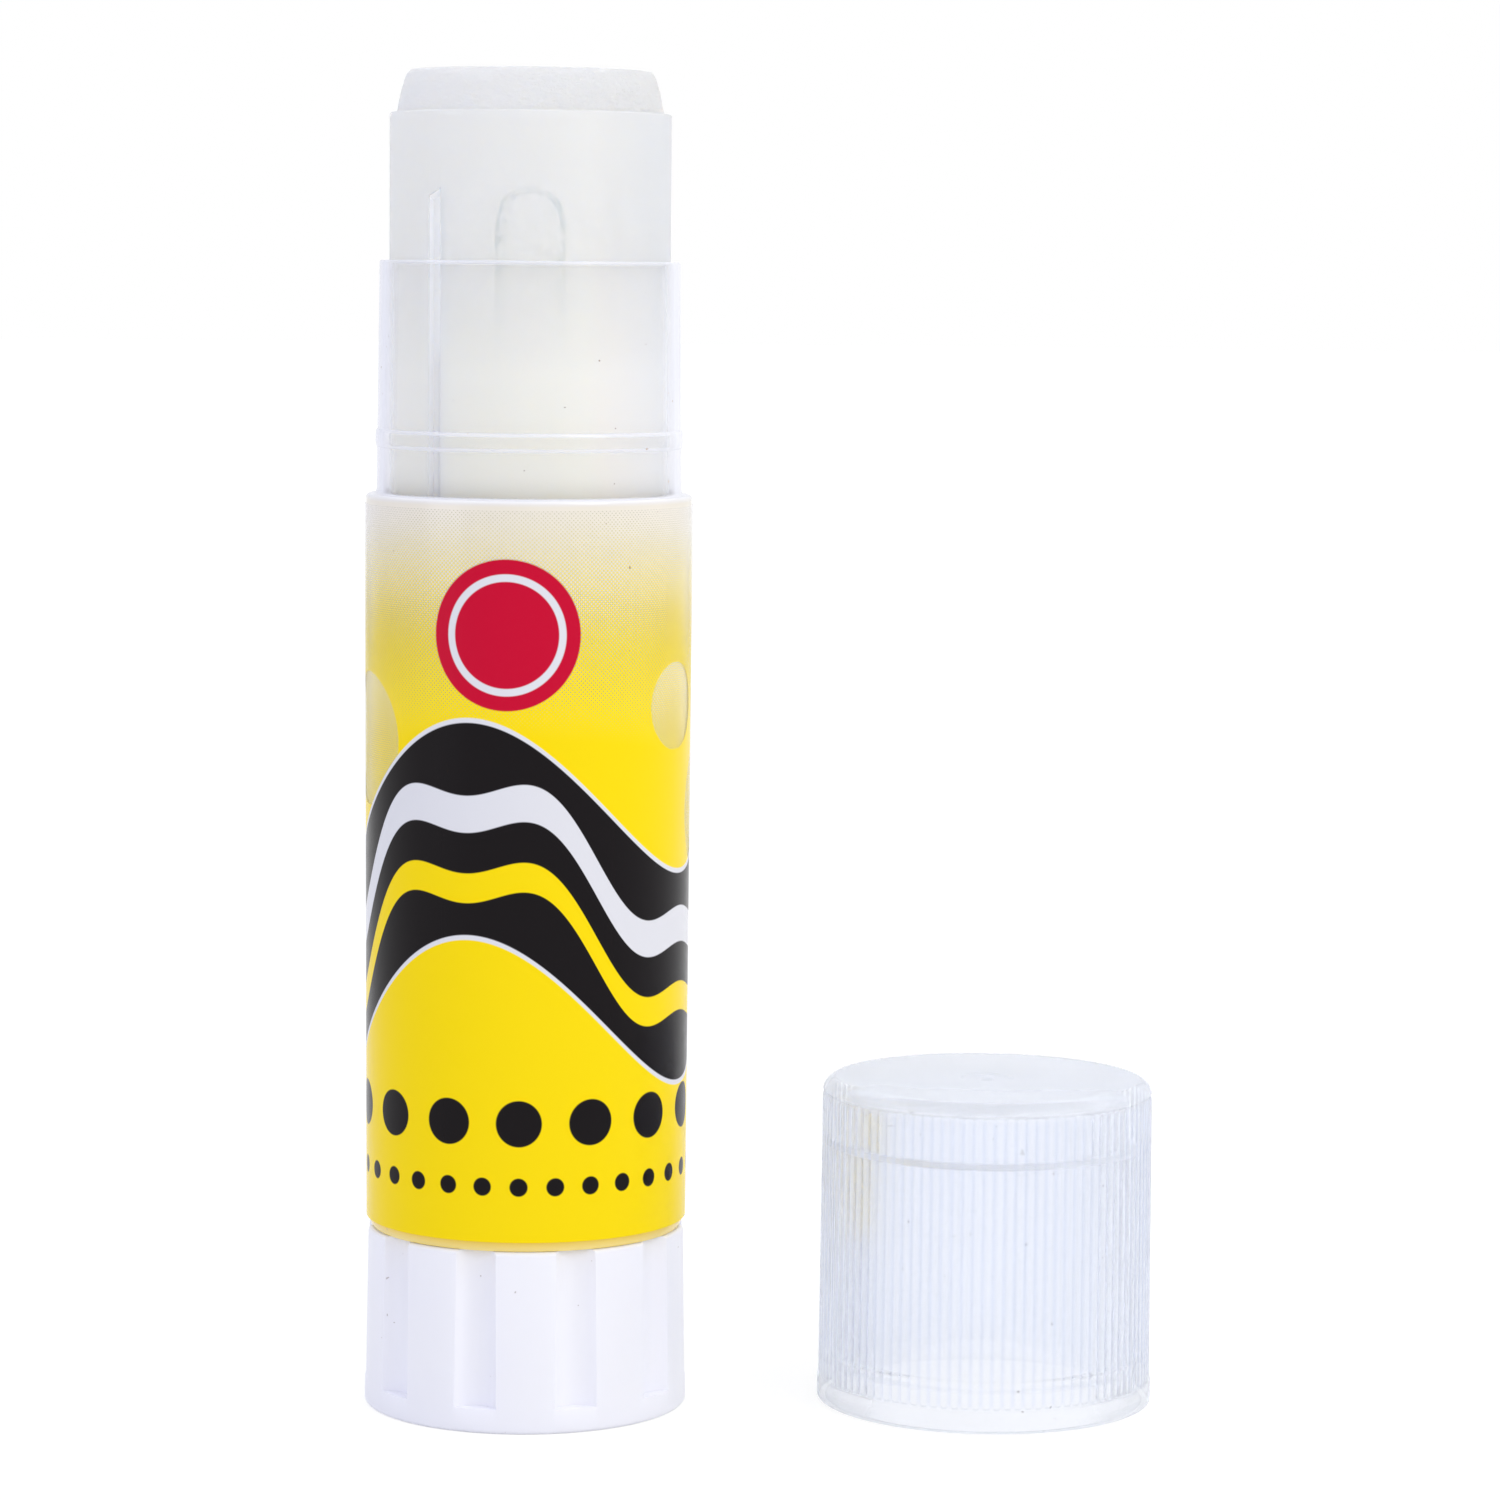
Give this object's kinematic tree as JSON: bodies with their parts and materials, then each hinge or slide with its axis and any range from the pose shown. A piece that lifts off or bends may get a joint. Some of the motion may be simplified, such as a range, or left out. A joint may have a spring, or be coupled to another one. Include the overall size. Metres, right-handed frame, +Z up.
{
  "type": "glue stick",
  "caption": "Push-up glue stick with a printed barrel, narrow neck, fluted turning knob, screw-driven carrier and a ribbed clear cap that stands beside it.",
  "frame": {"origin": "centre of the knob's flat underside, on the stick's axis", "axes": "+Z up along the stick's axis towards the glue, -Y the front of the stick, +X towards the cap"},
  "size_m": [0.0662, 0.0297, 0.1105],
  "materials": {
    "knob_plastic": "white moulded polypropylene, softly glossy",
    "screw_plastic": "white moulded plastic",
    "carrier_plastic": "white moulded plastic",
    "barrel_plastic": "milky translucent polypropylene",
    "label_film": "thin glossy printed film, yellow fading to clear",
    "glue_paste": "waxy translucent off-white adhesive",
    "cap_plastic": "clear to pale blue-white polypropylene"
  },
  "bodies": {
    "barrel": {"barrel": "barrel_plastic", "label": "label_film"},
    "knob": {"knob": "knob_plastic", "screw": "screw_plastic"},
    "carrier": {"carrier": "carrier_plastic", "glue": "glue_paste"},
    "cap": {"cap": "cap_plastic"}
  },
  "joints": [
    {"name": "knob_turn", "type": "hinge", "parent": "barrel", "child": "knob", "pos_m": [0, 0, 0], "axis": [0, 0, 1], "range_deg": [-1500, 3600]},
    {"name": "glue_lift", "type": "slide", "parent": "barrel", "child": "carrier", "axis": [0, 0, 1], "range_m": [-0.0125, 0.03]},
    {"name": "cap_lift", "type": "slide", "parent": "barrel", "child": "cap", "axis": [0, 0, 1], "range_m": [0, 0.115]}
  ],
  "couplings": [
    {"joint": "glue_lift", "follows": "knob_turn", "m_per_rad": 0.00047746}
  ]
}
